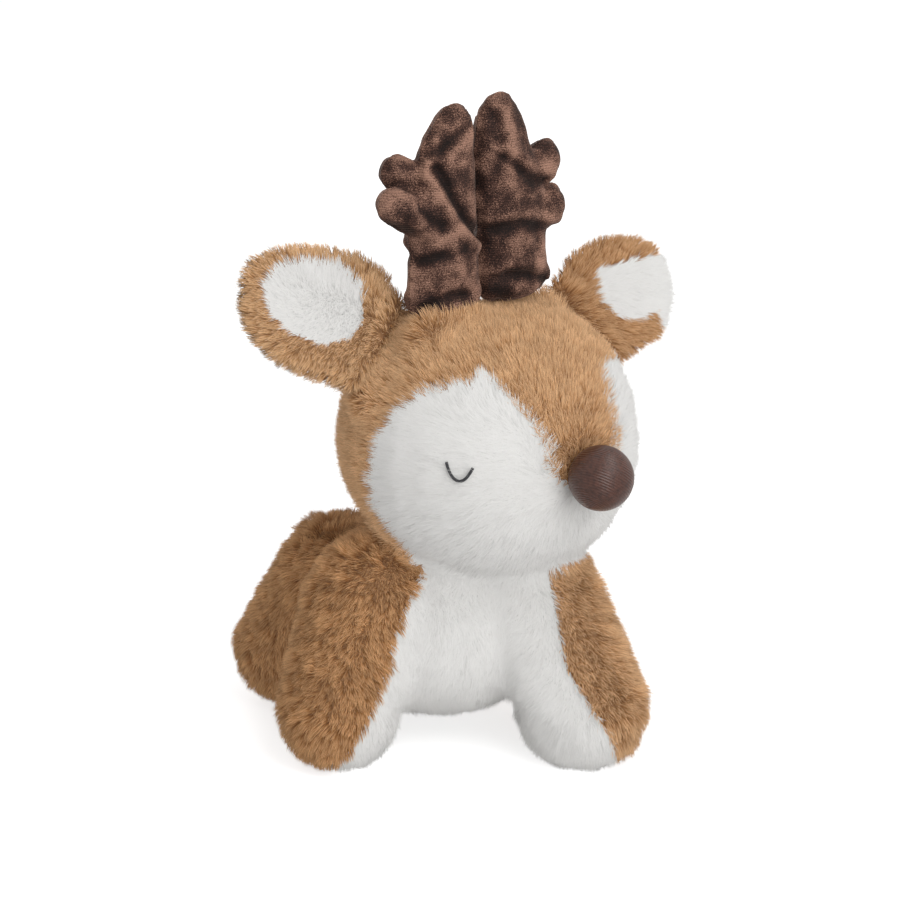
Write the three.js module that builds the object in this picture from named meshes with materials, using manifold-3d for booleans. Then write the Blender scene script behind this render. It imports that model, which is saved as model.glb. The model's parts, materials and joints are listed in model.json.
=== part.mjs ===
// A plush deer that stands on four short legs: fur covers over a fibre filling, a pellet bag in the seat,
// velvet antlers side by side on the crown, a wound satin nose and two stitched closed eyes.
// Millimetres. +Z is up, the body faces -Y and the deer's left is +X.
import * as THREE from "three";
import { mergeVertices } from "three/addons/utils/BufferGeometryUtils.js";
import Module from "manifold-3d";

const wasm = await Module();
wasm.setup();

// Driving dimensions

const seamGap = 0.3; // between two pieces that are sewn together
const coverWall = 3; // backing and packed pile of a fur cover
const overrun = 60; // how far a cutting solid runs past what it cuts
const footFlat = 0.5; // how deep a stuffed foot is pressed flat
const insideShare = 0.8; // how far out the first ring of a leaf lies within its round root
const bolsterFullnessShare = 0.6; // under 1 a round root is fuller at its ends than an egg

const torso = {
  bellyClearance: 9, // from the floor
  halfWidth: 46,
  halfLength: 51,
  halfHeight: 42,
  narrowingShare: 0.14,
};

const head = {
  seatDepth: 25, // how deep it sits in the shoulders
  leftShift: 15.8, // from the torso's middle
  forwardShift: 14,
  halfWidth: 57,
  halfLength: 55,
  halfHeight: 50,
  snoutReach: 4,
  chinForward: 9, // how far the chin lies in front of the middle
  crownSwell: 28, // fills the crown out at its sides, which makes its top flatter
  neckHoleRadius: 17,
  turnDegrees: 22, // to the deer's left
  rollDegrees: -3,
};

// Where each leg starts inside the torso and where its foot stands, as shares of the torso's half sizes
const legs = {
  front_leg_right: {
    shoulderShares: [-0.63, -0.33, 0.17],
    footShares: [-1.01, -0.55],
    rootRadius: 28,
    footRadius: 24,
  },
  front_leg_left: {
    shoulderShares: [0.61, -0.49, 0.17],
    footShares: [0.88, -1.04],
    rootRadius: 28,
    footRadius: 26,
  },
  hind_leg_right: {
    shoulderShares: [-0.61, 0.49, 0.02],
    footShares: [-0.95, 0.92],
    rootRadius: 30,
    footRadius: 25,
  },
  hind_leg_left: {
    shoulderShares: [0.61, 0.49, 0.02],
    footShares: [0.95, 0.92],
    rootRadius: 30,
    footRadius: 25,
  },
};

const legShape = {
  footFullnessShare: 0.7, // under 1 the foot is fuller than a ball
  footLengthShare: 1.06,
};

// The white panel down the chest, along the belly and down the inner side of each leg,
// as shares of the torso's half sizes from its middle
const chest = {
  neckHalfWidthShare: 0.52,
  neckShiftShare: 0.4, // of the head's shift: the panel's top follows the head
  halfWidthShare: 0.65,
  widestHeightShare: 0.36,
  straightHeightShare: -0.19, // below it the panel widens down the legs
  footHalfWidthShare: 1.15,
  shoulderShare: -0.45, // how far back the panel reaches on the body
  legBackShare: 0.2, // and on the front legs
  bellyHeightShare: -0.79,
  hindHeightShare: -0.45,
  hindHalfWidthShare: 0.57,
};

// The white face, as shares of the head's half length, half height and half width
const cheek = {
  outlineShares: [
    [-0.1, -1.3],
    [-0.1, -0.72],
    [-0.03, -0.4],
    [-0.03, -0.05],
    [-0.11, 0.28],
    [-0.26, 0.52],
    [-0.44, 0.64],
    [-0.7, 0.68],
    [-1.4, 0.66],
  ],
  blazeShares: [
    [0.12, -0.1],
    [0.28, 0.04],
    [0.35, 0.3],
    [0.4, 0.5],
    [0.42, 0.74],
  ],
};

const nose = {
  radius: 12,
  standOut: 5.5, // of its middle from the snout
  height: -1.5,
};

// A closed eye is one stitched arc, drawn here as shares of its half width and its drop
const eye = {
  bearingDegrees: 49.5,
  height: 8,
  halfWidth: 4.8,
  drop: 7,
  threadRadius: 0.5,
  arcShares: [
    [-1, 0],
    [-0.85, -0.4],
    [-0.6, -0.76],
    [-0.25, -0.97],
    [0.1, -1],
    [0.45, -0.86],
    [0.75, -0.6],
    [1, -0.28],
  ],
};

const ear = {
  length: 54,
  halfWidth: 24,
  halfDepth: 7,
  rootRadius: 5.5,
  rootHalfWidth: 22,
  seatDrop: 0.6, // the head falls away under the root's ends
  slantDegrees: 22, // the seam's upper end lies further back than its lower end
  liningHalfLength: 20,
  liningHalfWidth: 15,
  liningSetback: 27,
  liningRise: 2.5, // the lining sits nearer the ear's upper edge
  liningDepth: 4,
  // how wide and how thick the ear is along its length
  alongShares: [0.12, 0.28, 0.45, 0.62, 0.77, 0.89, 0.965],
  widthShares: [0.96, 1, 1, 0.98, 0.87, 0.67, 0.4],
  depthShares: [0.8, 0.92, 1, 1, 0.9, 0.68, 0.4],
};

// One ear is perked and the other hangs. The sweep leans an ear to the back about its seam,
// and the droop bends its tip down from the seam.
const earPoses = {
  right: { bearingDegrees: 105, elevationDegrees: 44, sweepDegrees: 15, droopDegrees: 40 },
  left: { bearingDegrees: 95, elevationDegrees: 30, sweepDegrees: 9, droopDegrees: 44 },
};

const antler = {
  halfWidth: 16,
  halfDepth: 9,
  rootRadius: 8,
  middleGap: 0.5, // from the head's middle plane
  setback: 2, // how far behind the head's middle they stand
  seatDrop: 0.5, // the crown falls away under the root
  // how wide and how thick the beam is along its height
  alongShares: [0.07, 0.25, 0.42, 0.58, 0.72, 0.84, 0.93, 0.98],
  widthShares: [0.98, 0.96, 0.98, 0.94, 0.8, 0.68, 0.5, 0.3],
  depthShares: [1, 1.08, 1.08, 1, 0.9, 0.8, 0.64, 0.4],
};

// How far from the middle plane the middle of each tip stays
const antlerPoses = {
  right: { height: 70.5, tipOffset: 8 },
  left: { height: 71, tipOffset: 13 },
};

// The two blunt branches of an antler, from inside the beam to the tip: up, forward and out,
// as shares of the antler's height, half depth and half width, with radii as shares of its half depth
const prongs = {
  right: [
    { fromShares: [0.35, 0.1, 0.93], toShares: [0.54, 0.2, 2.4], radiusShares: [0.95, 0.8] },
    { fromShares: [0.5, -0.33, 0.93], toShares: [0.68, -0.67, 1.95], radiusShares: [0.85, 0.75] },
  ],
  left: [
    { fromShares: [0.42, 0, 1], toShares: [0.61, 0, 2.1], radiusShares: [0.85, 0.78] },
    { fromShares: [0.21, 0, 1], toShares: [0.36, 0.1, 2.1], radiusShares: [0.92, 0.85] },
  ],
};

const tail = {
  length: 24,
  halfWidth: 10,
  halfDepth: 7,
  rootRadius: 5,
  rootHalfWidth: 7,
  elevationDegrees: 5,
  hangDegrees: 40,
  alongShares: [0.15, 0.4, 0.65, 0.85, 0.96],
  widthShares: [0.85, 1, 0.9, 0.62, 0.34],
  depthShares: [0.85, 1, 0.9, 0.62, 0.34],
};

const pelletBag = {
  halfWidth: 24,
  halfLength: 27,
  halfHeight: 11,
  bellyClearance: 9, // from the belly's lowest point
};

// How finely each form is made
const headSides = 24;
const headBands = 14;
const innerSides = 16;
const innerBands = 9;
const limbSides = 16;
const capBands = 3;
const leafSides = 14;
const ballSides = 20;
const ballBands = 8;
const curveSteps = 5;
const threadSides = 6;
const threadSteps = 14;

const colours = {
  tan: 0xb98c5e,
  white: 0xe6e2dc,
  velvet: 0x5a3a30,
  fibre: 0xf2f0ea,
  bag: 0xd8d2c4,
  satin: 0x6b3a26,
  thread: 0x55555c,
};

const radians = THREE.MathUtils.degToRad;
const vector = (x, y, z) => new THREE.Vector3(x, y, z);

// Places that follow from the sizes
const torsoMiddle = vector(0, 0, torso.bellyClearance + torso.halfHeight);
const torsoTop = torsoMiddle.z + torso.halfHeight;
const headMiddle = vector(head.leftShift, -head.forwardShift, torsoTop - head.seatDepth + head.halfHeight);
const torsoPlace = ([out, back, up]) =>
  vector(torso.halfWidth * out, torso.halfLength * back, torsoMiddle.z + torso.halfHeight * up);

// Solids and their cuts

function solidOf(geometry) {
  const bare = geometry.clone();
  bare.deleteAttribute("normal");
  bare.deleteAttribute("uv");
  const merged = mergeVertices(bare);
  return new wasm.Manifold(
    new wasm.Mesh({
      numProp: 3,
      vertProperties: merged.attributes.position.array,
      triVerts: new Uint32Array(merged.index.array),
    }),
  );
}

function geometryOf(solid) {
  const mesh = solid.getMesh();
  const positions = new Float32Array(mesh.numVert * 3);
  for (let i = 0; i < mesh.numVert; i++) {
    const start = i * mesh.numProp;
    positions.set(mesh.vertProperties.subarray(start, start + 3), i * 3);
  }
  const geometry = new THREE.BufferGeometry();
  geometry.setAttribute("position", new THREE.BufferAttribute(positions, 3));
  geometry.setIndex(new THREE.BufferAttribute(new Uint32Array(mesh.triVerts), 1));
  geometry.computeVertexNormals();
  return geometry;
}

// A wide block that fills everything behind a plane through a point
function behindPlane(point, normal) {
  const size = 4 * overrun;
  const geometry = new THREE.BoxGeometry(size, size, size).translate(0, 0, -size / 2);
  const turn = new THREE.Quaternion().setFromUnitVectors(vector(0, 0, 1), normal.clone().normalize());
  return solidOf(geometry.applyQuaternion(turn).translate(point.x, point.y, point.z));
}

function prism(shape, depth) {
  return new THREE.ExtrudeGeometry(shape, { depth, bevelEnabled: false, curveSegments: curveSteps });
}

// Forms

// A closed surface through rings of points, with a pole at each end
function loft(rings, firstPole, lastPole) {
  const sides = rings[0].length;
  const points = [firstPole, ...rings.flat(), lastPole];
  const indices = [];
  const at = (ring, side) => 1 + ring * sides + (side % sides);
  const last = points.length - 1;
  for (let side = 0; side < sides; side++) {
    indices.push(0, at(0, side + 1), at(0, side));
    indices.push(last, at(rings.length - 1, side), at(rings.length - 1, side + 1));
    for (let ring = 0; ring + 1 < rings.length; ring++) {
      indices.push(at(ring, side), at(ring, side + 1), at(ring + 1, side + 1));
      indices.push(at(ring, side), at(ring + 1, side + 1), at(ring + 1, side));
    }
  }
  const positions = new Float32Array(points.flatMap((point) => point.toArray()));
  const geometry = new THREE.BufferGeometry();
  geometry.setAttribute("position", new THREE.BufferAttribute(positions, 3));
  geometry.setIndex(indices);
  return geometry;
}

// An ellipse of points about a middle, in the directions u and v
function ring(middle, u, v, radiusU, radiusV, sides) {
  const points = [];
  for (let i = 0; i < sides; i++) {
    const angle = (2 * Math.PI * i) / sides;
    const point = middle.clone().addScaledVector(u, radiusU * Math.cos(angle));
    points.push(point.addScaledVector(v, radiusV * Math.sin(angle)));
  }
  return points;
}

// A ball whose points are moved by a function of their direction from its middle
function reshapedBall(sides, bands, pointAt) {
  const geometry = new THREE.SphereGeometry(1, sides, bands).rotateX(Math.PI / 2);
  const position = geometry.attributes.position;
  for (let i = 0; i < position.count; i++) {
    const point = pointAt(vector(0, 0, 0).fromBufferAttribute(position, i));
    position.setXYZ(i, point.x, point.y, point.z);
  }
  return geometry;
}

function ellipsoid(middle, halfSizes, sides, bands) {
  return reshapedBall(sides, bands, (unit) => unit.multiply(halfSizes).add(middle));
}

// The torso is a dome that narrows towards the neck; grow swells or shrinks it all round
function torsoPoint(unit, grow) {
  const narrowing = 1 - torso.narrowingShare * unit.z;
  return vector(
    unit.x * (torso.halfWidth + grow) * narrowing,
    unit.y * (torso.halfLength + grow) * narrowing,
    unit.z * (torso.halfHeight + grow),
  ).add(torsoMiddle);
}

// The head, in its own frame, is a ball that swells forward at the snout and the chin
// and upward at the sides of the crown
function headPoint(unit, grow) {
  const snout = head.snoutReach * Math.max(0, -unit.y) ** 3 + head.chinForward * Math.max(0, -unit.z) ** 2;
  const swell = head.crownSwell * Math.max(0, unit.z) ** 2 * Math.abs(unit.x) ** 3;
  return vector(
    unit.x * (head.halfWidth + grow),
    unit.y * (head.halfLength + grow) - snout,
    unit.z * (head.halfHeight + grow) + swell,
  );
}

const torsoForm = (grow) => reshapedBall(headSides, headBands, (unit) => torsoPoint(unit, grow));
const headForm = (grow) => reshapedBall(headSides, headBands, (unit) => headPoint(unit, grow));

// What is inside a cover is made more coarsely, so that the wall is nowhere under its thickness
const innerBall = (pointAt, grow) => reshapedBall(innerSides, innerBands, (unit) => pointAt(unit, grow));
const torsoInside = (grow) => innerBall(torsoPoint, grow - coverWall);
const headInside = (grow) => innerBall(headPoint, grow - coverWall);

// The direction from the head's middle at a bearing from the nose, positive to the deer's left
function headDirection(bearingDegrees, elevationDegrees) {
  const bearing = radians(bearingDegrees);
  const elevation = radians(elevationDegrees);
  return vector(
    Math.cos(elevation) * Math.sin(bearing),
    -Math.cos(elevation) * Math.cos(bearing),
    Math.sin(elevation),
  );
}

// A leg swells at its root, tapers and ends in a full round foot that stands level
function legForm({ shoulderShares, footShares, rootRadius, footRadius }, grow) {
  const top = torsoPlace(shoulderShares);
  const ankle = torsoPlace([...footShares, 0]).setZ(footRadius - footFlat);
  const axis = ankle.clone().sub(top).normalize();
  const side = vector(0, 1, 0).cross(axis).normalize();
  const front = axis.clone().cross(side);
  const levelFront = vector(0, Math.sign(front.y), 0);
  const levelSide = vector(Math.sign(side.x), 0, 0);
  const rings = [];
  for (let band = 1; band <= capBands; band++) {
    const angle = (Math.PI / 2) * (1 - band / capBands);
    const middle = top.clone().addScaledVector(axis, -(rootRadius + grow) * Math.sin(angle));
    const radius = (rootRadius + grow) * Math.cos(angle);
    rings.push(ring(middle, side, front, radius, radius, limbSides));
  }
  for (let band = 0; band <= capBands; band++) {
    const angle = (Math.PI / 2) * (band / (capBands + 1));
    const middle = ankle.clone().add(vector(0, 0, -(footRadius + grow) * Math.sin(angle)));
    const radius = (footRadius + grow) * Math.cos(angle) ** legShape.footFullnessShare;
    rings.push(ring(middle, levelSide, levelFront, radius, radius * legShape.footLengthShare, limbSides));
  }
  const firstPole = top.clone().addScaledVector(axis, -(rootRadius + grow));
  return loft(rings, firstPole, ankle.clone().add(vector(0, 0, -(footRadius + grow))));
}

// A blunt branch of an antler of the height given
function branchForm({ fromShares, toShares, radiusShares }, height) {
  const sizes = vector(height, antler.halfDepth, antler.halfWidth);
  const start = vector(...fromShares).multiply(sizes);
  const end = vector(...toShares).multiply(sizes);
  const [fromRadius, toRadius] = radiusShares.map((share) => share * antler.halfDepth);
  const axis = end.clone().sub(start).normalize();
  const side = vector(0, 1, 0).cross(axis).normalize();
  const front = axis.clone().cross(side);
  const rings = [ring(start, side, front, fromRadius, fromRadius, leafSides)];
  for (let band = 0; band < capBands; band++) {
    const angle = (Math.PI / 2) * (band / capBands);
    const middle = end.clone().addScaledVector(axis, toRadius * Math.sin(angle));
    const radius = toRadius * Math.cos(angle);
    rings.push(ring(middle, side, front, radius, radius, leafSides));
  }
  const firstPole = start.clone().addScaledVector(axis, -fromRadius / 2);
  return loft(rings, firstPole, end.clone().addScaledVector(axis, toRadius));
}

// A round roll along Z, full at its ends
function bolster(middle, halfWidth, fullRadius) {
  const rings = [];
  for (let band = 1; band < ballBands; band++) {
    const angle = (Math.PI * band) / ballBands;
    const radius = fullRadius * Math.sin(angle) ** bolsterFullnessShare;
    const place = vector(0, 0, middle - halfWidth * Math.cos(angle));
    rings.push(ring(place, vector(1, 0, 0), vector(0, 1, 0), radius, radius, leafSides));
  }
  return loft(rings, vector(0, 0, middle - halfWidth), vector(0, 0, middle + halfWidth));
}

// A flat stuffed form that stands out along X from a seam along Z, and may bend down towards -Z.
// Its root is round about the seam, so that it clears what it is sewn to as it bends there.
function leafSolid(shape) {
  const bend = radians(shape.droopDegrees ?? 0);
  const hasStraightEdge = shape.middleGap > 0; // it runs along a middle plane
  const rootHalfWidth = shape.rootHalfWidth ?? shape.halfWidth;
  const rings = [];
  const addRing = (share, halfWidth, halfDepth) => {
    const angle = bend * share;
    const along = bend ? (shape.length * Math.sin(angle)) / bend : shape.length * share;
    const down = bend ? (shape.length * (1 - Math.cos(angle))) / bend : 0;
    const across = vector(Math.sin(angle), 0, Math.cos(angle));
    const middle = vector(along, 0, -down);
    if (hasStraightEdge) {
      const offset = Math.max(halfWidth + shape.middleGap, shape.tipOffset);
      middle.addScaledVector(across, offset);
    }
    rings.push(ring(middle, across, vector(0, -1, 0), halfWidth, halfDepth, leafSides));
    return middle;
  };
  const root = addRing(0, rootHalfWidth * insideShare, shape.rootRadius * insideShare);
  shape.alongShares.forEach((share, i) => {
    addRing(share, shape.halfWidth * shape.widthShares[i], shape.halfDepth * shape.depthShares[i]);
  });
  const tip = addRing(1, 0, 0);
  rings.pop();
  const rootMiddle = hasStraightEdge ? rootHalfWidth + shape.middleGap : 0;
  return solidOf(loft(rings, root, tip)).add(solidOf(bolster(rootMiddle, rootHalfWidth, shape.rootRadius)));
}

// The scene

const headTurn = new THREE.Quaternion().setFromEuler(
  new THREE.Euler(0, radians(head.rollDegrees), radians(head.turnDegrees), "ZYX"),
);
const headMatrix = new THREE.Matrix4().compose(headMiddle, headTurn, vector(1, 1, 1));

const deer = new THREE.Group();
const headGroup = new THREE.Group();
headGroup.applyMatrix4(headMatrix);
deer.add(headGroup);

function addPiece(parent, name, solid, colour, roughness = 1) {
  const material = new THREE.MeshStandardMaterial({ color: colour, roughness, metalness: 0 });
  const mesh = new THREE.Mesh(geometryOf(solid), material);
  mesh.name = name;
  parent.add(mesh);
}

// A group at a seam, on the side given: its X runs along outward and its Z along the seam
function addSeam(parent, name, side, place, outward, seam, turnDegrees) {
  const z = seam.clone().normalize();
  const x = outward.clone().addScaledVector(z, -outward.dot(z)).normalize();
  const matrix = new THREE.Matrix4().makeBasis(x, z.clone().cross(x), z).setPosition(place);
  matrix.multiply(new THREE.Matrix4().makeRotationZ(radians(turnDegrees)));
  const group = new THREE.Group();
  group.name = name;
  group.applyMatrix4(new THREE.Matrix4().makeScale(side, 1, 1).multiply(matrix));
  parent.add(group);
  return group;
}

// Body: a cover with a white chest and belly panel, its filling and the pellet bag

const headClearance = solidOf(headForm(seamGap).applyMatrix4(headMatrix));
const torsoShell = solidOf(torsoForm(0)).subtract(solidOf(torsoInside(0))).subtract(headClearance);

// The white panel's outline, seen from the front, pushed through from the front
function frontPanelCut(grow, backShare) {
  const outline = new THREE.Shape();
  const neck = torso.halfWidth * chest.neckHalfWidthShare + grow;
  const neckShift = head.leftShift * chest.neckShiftShare;
  const middle = torso.halfWidth * chest.halfWidthShare + grow;
  const foot = torso.halfWidth * chest.footHalfWidthShare + grow;
  const widestHeight = torsoMiddle.z + torso.halfHeight * chest.widestHeightShare;
  const straightHeight = torsoMiddle.z + torso.halfHeight * chest.straightHeightShare;
  outline.moveTo(neckShift - neck, torsoTop + overrun);
  outline.lineTo(neckShift - neck, torsoTop);
  outline.quadraticCurveTo(-middle, widestHeight, -middle, straightHeight);
  outline.lineTo(-foot, 0);
  outline.lineTo(-foot, -overrun);
  outline.lineTo(foot, -overrun);
  outline.lineTo(foot, 0);
  outline.lineTo(middle, straightHeight);
  outline.quadraticCurveTo(middle, widestHeight, neckShift + neck, torsoTop);
  outline.lineTo(neckShift + neck, torsoTop + overrun);
  const backEnd = torso.halfLength * backShare + grow;
  const panel = prism(outline, torso.halfLength + overrun).rotateX(Math.PI / 2);
  return solidOf(panel.translate(0, backEnd, 0));
}

function bellyCut(grow) {
  const block = new THREE.BoxGeometry(4 * overrun, 4 * overrun, overrun);
  const top = torsoMiddle.z + torso.halfHeight * chest.bellyHeightShare + grow;
  return solidOf(block.translate(0, 0, top - overrun / 2));
}

// The white inner side of the hind legs, seen from the back
function hindPanelCut(grow) {
  const outline = new THREE.Shape();
  const top = torso.halfWidth * chest.hindHalfWidthShare + grow;
  const foot = torso.halfWidth * chest.footHalfWidthShare + grow;
  const topHeight = torsoMiddle.z + torso.halfHeight * chest.hindHeightShare + grow;
  outline.moveTo(-top, topHeight);
  outline.lineTo(-foot, 0);
  outline.lineTo(-foot, -overrun);
  outline.lineTo(foot, -overrun);
  outline.lineTo(foot, 0);
  outline.lineTo(top, topHeight);
  const depth = 4 * overrun;
  return solidOf(prism(outline, depth).rotateX(Math.PI / 2).translate(0, depth / 2, 0));
}

const chestCut = (grow) => frontPanelCut(grow, chest.shoulderShare).add(bellyCut(grow));
addPiece(deer, "body_cover", torsoShell.subtract(chestCut(seamGap)), colours.tan);
addPiece(deer, "chest_panel", torsoShell.intersect(chestCut(0)), colours.white);

function bagForm(grow) {
  const middle = vector(0, 0, torso.bellyClearance + pelletBag.bellyClearance + pelletBag.halfHeight);
  const halfSizes = vector(pelletBag.halfWidth, pelletBag.halfLength, pelletBag.halfHeight).addScalar(grow);
  return ellipsoid(middle, halfSizes, ballSides, ballBands);
}

// The bag goes into the filling from below, so its pocket is open at the bottom
const pocketMouth = new THREE.BoxGeometry(pelletBag.halfWidth, pelletBag.halfLength, overrun);
const bagMiddle = torso.bellyClearance + pelletBag.bellyClearance + pelletBag.halfHeight;
pocketMouth.translate(0, 0, bagMiddle - overrun / 2);
const bagPocket = solidOf(bagForm(seamGap)).add(solidOf(pocketMouth));
const bodyFilling = solidOf(torsoInside(-seamGap)).subtract(headClearance).subtract(bagPocket);
addPiece(deer, "body_filling", bodyFilling, colours.fibre);
addPiece(deer, "pellet_bag", solidOf(bagForm(0)), colours.bag);

// Legs: each is cut by the torso, the head and the leg in front of it, then parted at its inner seam

const torsoClearance = solidOf(torsoForm(seamGap));
const floor = behindPlane(vector(0, 0, 0), vector(0, 0, 1));

for (const [name, leg] of Object.entries(legs)) {
  const side = Math.sign(leg.footShares[0]);
  const isHind = name.startsWith("hind");
  const farSide = behindPlane(vector((side * seamGap) / 2, 0, 0), vector(side, 0, 0));
  let solid = solidOf(legForm(leg, 0)).subtract(torsoClearance).subtract(headClearance);
  solid = solid.subtract(floor).subtract(farSide);
  if (isHind) solid = solid.subtract(solidOf(legForm(legs[name.replace("hind", "front")], seamGap)));
  const panelCut = (grow) => (isHind ? hindPanelCut(grow) : frontPanelCut(grow, chest.legBackShare));
  addPiece(deer, name, solid.subtract(panelCut(seamGap)), colours.tan);
  addPiece(deer, name.replace("leg", "leg_lining"), solid.intersect(panelCut(0)), colours.white);
}

// Head: a cover with two white cheek panels, its filling, the nose and the eyes

// Everything in front of the face seam, whose outline is seen from the side
function faceCut(grow) {
  const outline = new THREE.Shape();
  const points = cheek.outlineShares.map(
    ([along, up]) => new THREE.Vector2(along * head.halfLength + grow, up * head.halfHeight + grow),
  );
  outline.moveTo(-2 * head.halfLength, points[0].y);
  outline.lineTo(points[0].x, points[0].y);
  outline.splineThru(points.slice(1));
  outline.lineTo(-2 * head.halfLength, points[points.length - 1].y);
  const depth = 4 * head.halfWidth;
  const turn = new THREE.Matrix4().makeBasis(vector(0, 1, 0), vector(0, 0, 1), vector(1, 0, 0));
  return solidOf(prism(outline, depth).translate(0, 0, -depth / 2).applyMatrix4(turn));
}

// The tan blaze that runs from the forehead to the nose, whose outline is seen from the front
function blazeCut(grow) {
  const points = cheek.blazeShares.map(
    ([out, up]) => new THREE.Vector2(out * head.halfWidth + grow, up * head.halfHeight - grow),
  );
  const mirrored = points.map((point) => new THREE.Vector2(-point.x, point.y)).reverse();
  const last = points[points.length - 1];
  const outline = new THREE.Shape();
  outline.moveTo(points[0].x, points[0].y);
  outline.splineThru(points.slice(1));
  outline.lineTo(last.x, 2 * head.halfHeight);
  outline.lineTo(-last.x, 2 * head.halfHeight);
  outline.lineTo(mirrored[0].x, mirrored[0].y);
  outline.splineThru(mirrored.slice(1));
  return solidOf(prism(outline, 2 * head.halfLength).rotateX(Math.PI / 2));
}

const neckHole = new THREE.CylinderGeometry(
  head.neckHoleRadius,
  head.neckHoleRadius,
  head.halfHeight,
  ballSides,
);
neckHole.rotateX(Math.PI / 2).translate(0, 0, -head.halfHeight);
const headShell = solidOf(headForm(0)).subtract(solidOf(headInside(0))).subtract(solidOf(neckHole));
const face = faceCut(0).subtract(blazeCut(seamGap));
const faceWithGap = faceCut(seamGap).subtract(blazeCut(0));
addPiece(headGroup, "head_cover", headShell.subtract(faceWithGap), colours.tan);
addPiece(headGroup, "head_filling", solidOf(headInside(-seamGap)), colours.fibre);

const noseBall = new THREE.SphereGeometry(nose.radius, ballSides, ballBands).rotateX(Math.PI / 2);
noseBall.translate(0, -head.halfLength - head.snoutReach - nose.standOut, nose.height);
addPiece(headGroup, "nose", solidOf(noseBall).subtract(solidOf(headForm(seamGap))), colours.satin, 0.4);

// The eye's thread lies on the cheek, in an arc that hangs down
function eyeForm(side) {
  const points = eye.arcShares.map(([out, down]) => {
    const height = eye.height + eye.drop * down;
    const elevation = THREE.MathUtils.radToDeg(Math.asin(height / head.halfHeight));
    const step = THREE.MathUtils.radToDeg((eye.halfWidth * out) / head.halfWidth);
    const unit = headDirection(side * (eye.bearingDegrees - step), elevation);
    return headPoint(unit, eye.threadRadius + seamGap);
  });
  const section = new THREE.Shape();
  for (let i = 0; i < threadSides; i++) {
    const angle = (2 * Math.PI * i) / threadSides;
    section[i ? "lineTo" : "moveTo"](eye.threadRadius * Math.cos(angle), eye.threadRadius * Math.sin(angle));
  }
  const extrudePath = new THREE.CatmullRomCurve3(points);
  return new THREE.ExtrudeGeometry(section, { steps: threadSteps, bevelEnabled: false, extrudePath });
}

// An ear's seam runs up the head between the ends of the ear's root, and slants to the back
function earSeamWay(bearingDegrees, elevationDegrees) {
  const reach = THREE.MathUtils.radToDeg(ear.rootHalfWidth / head.halfWidth);
  const upper = headPoint(headDirection(bearingDegrees, elevationDegrees + reach), 0);
  const lower = headPoint(headDirection(bearingDegrees, elevationDegrees - reach), 0);
  const outward = headDirection(bearingDegrees, elevationDegrees);
  return upper.sub(lower).applyAxisAngle(outward, -radians(ear.slantDegrees));
}

// The white patch in the ear's hollow side, an oval laid along the bent ear
function liningCut(droopDegrees, grow) {
  const bend = radians(droopDegrees);
  const slope = (bend * ear.liningSetback) / ear.length;
  const drop = (ear.length * (1 - Math.cos(slope))) / bend;
  const outline = new THREE.Shape();
  outline.absellipse(
    ear.liningSetback,
    ear.liningRise - drop,
    ear.liningHalfLength + grow,
    ear.liningHalfWidth + grow,
    0,
    2 * Math.PI,
    false,
    -slope,
  );
  const geometry = prism(outline, overrun).rotateX(Math.PI / 2);
  return solidOf(geometry.translate(0, ear.liningDepth + grow - ear.halfDepth, 0));
}

for (const [side, hand] of [
  [-1, "right"],
  [1, "left"],
]) {
  const farSide = behindPlane(vector((side * seamGap) / 2, 0, 0), vector(side, 0, 0));
  addPiece(headGroup, "cheek_panel_" + hand, headShell.intersect(face).subtract(farSide), colours.white);
  addPiece(headGroup, "eye_stitch_" + hand, solidOf(eyeForm(side)), colours.thread);

  const { bearingDegrees, elevationDegrees, sweepDegrees, droopDegrees } = earPoses[hand];
  const earPlace = headDirection(bearingDegrees, elevationDegrees);
  const earRoot = headPoint(earPlace, ear.rootRadius + seamGap - ear.seatDrop);
  const earSeam = earSeamWay(bearingDegrees, elevationDegrees);
  const earName = "ear_" + hand;
  const earGroup = addSeam(headGroup, earName + "_seam", side, earRoot, earPlace, earSeam, sweepDegrees);
  const earLeaf = leafSolid({ ...ear, droopDegrees });
  addPiece(earGroup, earName, earLeaf.subtract(liningCut(droopDegrees, seamGap)), colours.tan);
  addPiece(earGroup, "ear_lining_" + hand, earLeaf.intersect(liningCut(droopDegrees, 0)), colours.white);

  const antlerRoot = vector(0, antler.setback, head.halfHeight + antler.rootRadius - antler.seatDrop);
  const [up, outward] = [vector(0, 0, 1), vector(1, 0, 0)];
  const antlerGroup = addSeam(headGroup, "antler_" + hand + "_seam", side, antlerRoot, up, outward, 0);
  const { height, tipOffset } = antlerPoses[hand];
  const beam = leafSolid({ ...antler, length: height, tipOffset });
  const antlerSolid = prongs[hand].reduce(
    (solid, prong) => solid.add(solidOf(branchForm(prong, height))),
    beam,
  );
  addPiece(antlerGroup, "antler_" + hand, antlerSolid, colours.velvet);
}

const tailRise = radians(tail.elevationDegrees);
const tailPlace = vector(0, Math.cos(tailRise), Math.sin(tailRise));
const tailRoot = torsoPoint(tailPlace, tail.rootRadius + seamGap);
const tailGroup = addSeam(deer, "tail_seam", 1, tailRoot, tailPlace, vector(1, 0, 0), -tail.hangDegrees);
addPiece(tailGroup, "tail", leafSolid(tail), colours.tan);

// The origin is on the floor, under the middle of the deer's box
const box = new THREE.Box3().setFromObject(deer, true);
deer.position.set(-(box.min.x + box.max.x) / 2, -(box.min.y + box.max.y) / 2, -box.min.z);

export default deer;
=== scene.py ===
import json
import math

import bmesh
import bpy
import numpy as np
from mathutils import Matrix, Vector, noise
from mathutils.bvhtree import BVHTree
from mathutils.kdtree import KDTree


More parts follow.
